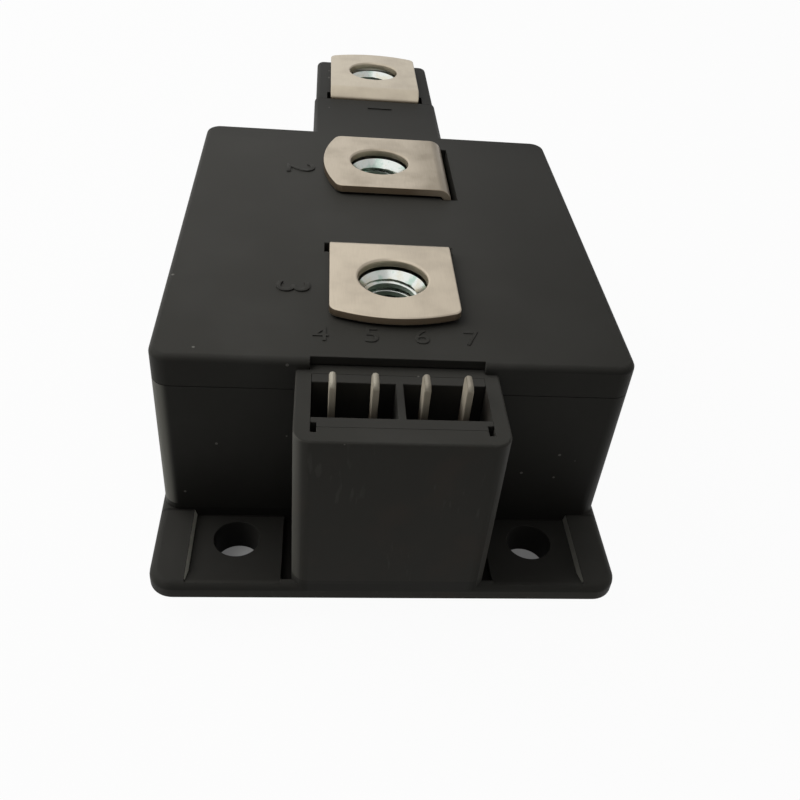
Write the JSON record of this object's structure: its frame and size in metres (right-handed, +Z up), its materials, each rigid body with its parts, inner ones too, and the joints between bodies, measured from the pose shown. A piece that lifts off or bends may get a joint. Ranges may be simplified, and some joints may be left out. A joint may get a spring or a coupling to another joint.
{
  "type": "thyristor module",
  "caption": "Black moulded power module with a copper base, a flanged foot with screw pockets, a row of bent screw terminals, an overhanging nose and a socket of control tabs.",
  "frame": {"origin": "middle of the base plate's underside, which is the face that lies on the heat sink", "axes": "+Z up out of the heat sink, +Y from the control socket to the overhanging terminal, +X to the right"},
  "size_m": [0.0594, 0.1155, 0.0327],
  "materials": {
    "copper": "ground copper, lightly tarnished",
    "housing_plastic": "fine matt moulded surface",
    "carrier_plastic": "fine matt moulded surface",
    "nickel": "satin nickel plate on copper",
    "zinc": "bright zinc plate on steel",
    "tab_nickel": "satin nickel plate on brass",
    "substrate_copper": "bare copper",
    "ceramic": "fired alumina",
    "silicon": "polished silicon",
    "molybdenum": "lapped molybdenum",
    "lead_white": "insulated lead",
    "lead_red": "insulated lead",
    "gel": "clear silicone gel"
  },
  "bodies": {
    "root": {"base_plate": "copper", "housing_frame": "housing_plastic", "top_lid": "housing_plastic", "pin_carrier": "carrier_plastic", "terminal_1": "nickel", "terminal_2": "nickel", "terminal_3": "nickel", "nut_1": "zinc", "nut_2": "zinc", "nut_3": "zinc", "control_tab_4": "tab_nickel", "control_tab_5": "tab_nickel", "control_tab_6": "tab_nickel", "control_tab_7": "tab_nickel", "substrate_a_low_copper": "substrate_copper", "substrate_a_ceramic": "ceramic", "substrate_a_top_copper": "substrate_copper", "substrate_b_low_copper": "substrate_copper", "substrate_b_ceramic": "ceramic", "substrate_b_top_copper": "substrate_copper", "thyristor_chip_a": "silicon", "thyristor_chip_b": "silicon", "buffer_disc_a": "molybdenum", "buffer_disc_b": "molybdenum", "cathode_bridge": "substrate_copper", "control_lead_4": "lead_white", "control_lead_5": "lead_red", "control_lead_6": "lead_red", "control_lead_7": "lead_white", "silicone_gel": "gel"}
  },
  "joints": []
}
